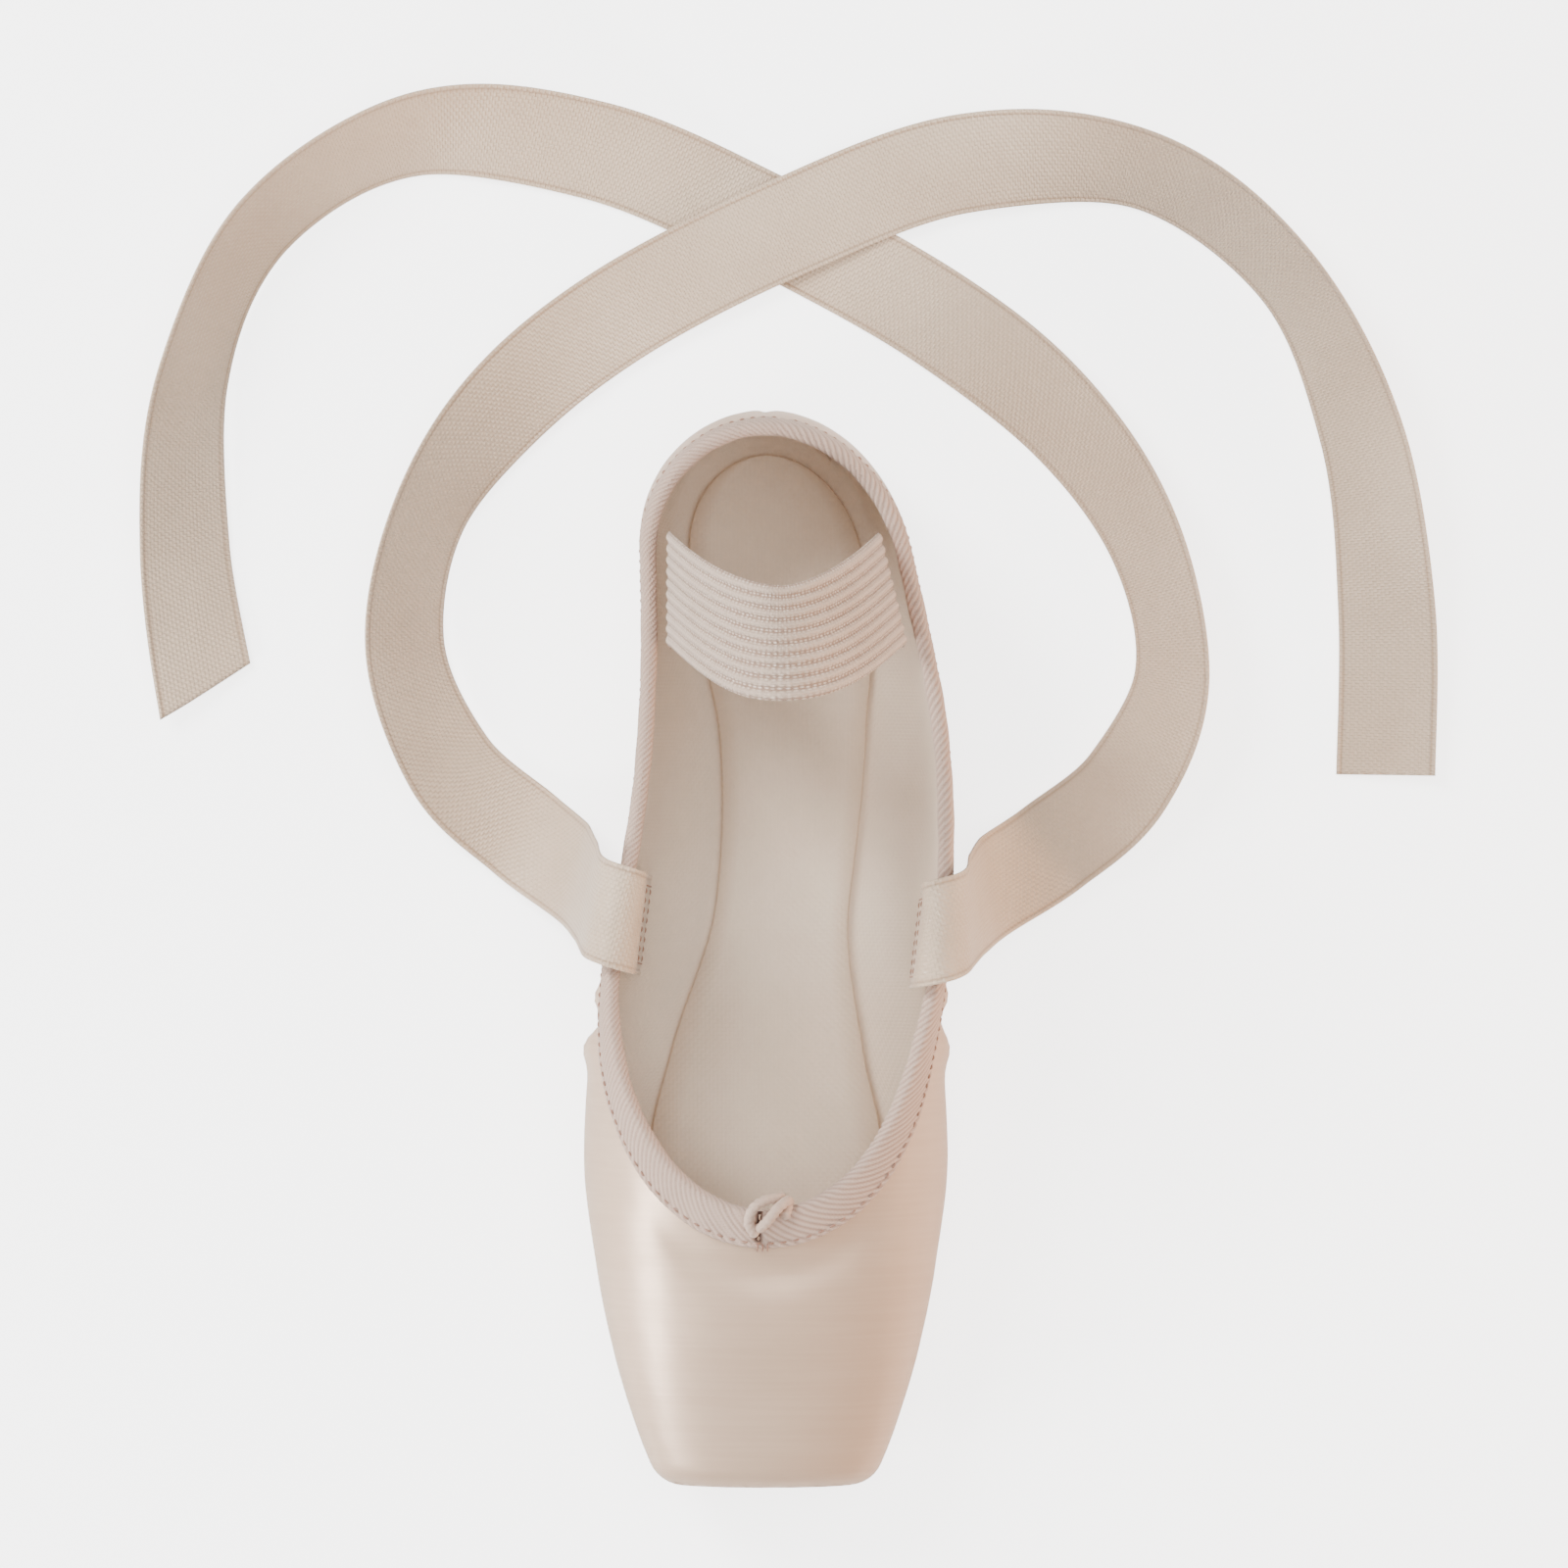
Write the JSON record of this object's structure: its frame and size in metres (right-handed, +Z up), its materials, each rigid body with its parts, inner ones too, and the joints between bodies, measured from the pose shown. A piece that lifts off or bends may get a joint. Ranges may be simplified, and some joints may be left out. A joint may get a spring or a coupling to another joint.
{
  "type": "pointe shoe",
  "caption": "Satin pointe shoe with a flat blocked toe, open collar with drawstring binding, leather sole, ankle elastic and loose ribbons, for dancing on the toes.",
  "frame": {"origin": "on the floor under the middle of the shoe's bounding box, ribbons and drawstring left out", "axes": "+Y from toe to heel, +Z up, +X towards the inner side of the foot"},
  "size_m": [0.288, 0.3089, 0.1156],
  "materials": {
    "satin": "smooth satin, pale peach",
    "tape": "matte twill tape",
    "sole_leather": "buffed sole leather",
    "lining": "plain cotton",
    "elastic": "ribbed elastic",
    "cord": "fine cotton cord",
    "ribbon": "semi-matte satin ribbon"
  },
  "bodies": {
    "root": {"upper": "satin", "collar_binding": "tape", "outsole": "sole_leather", "insole": "lining", "ankle_elastic": "elastic", "drawstring_knot": "cord", "ribbon_inner": "ribbon", "ribbon_outer": "ribbon"}
  },
  "joints": []
}
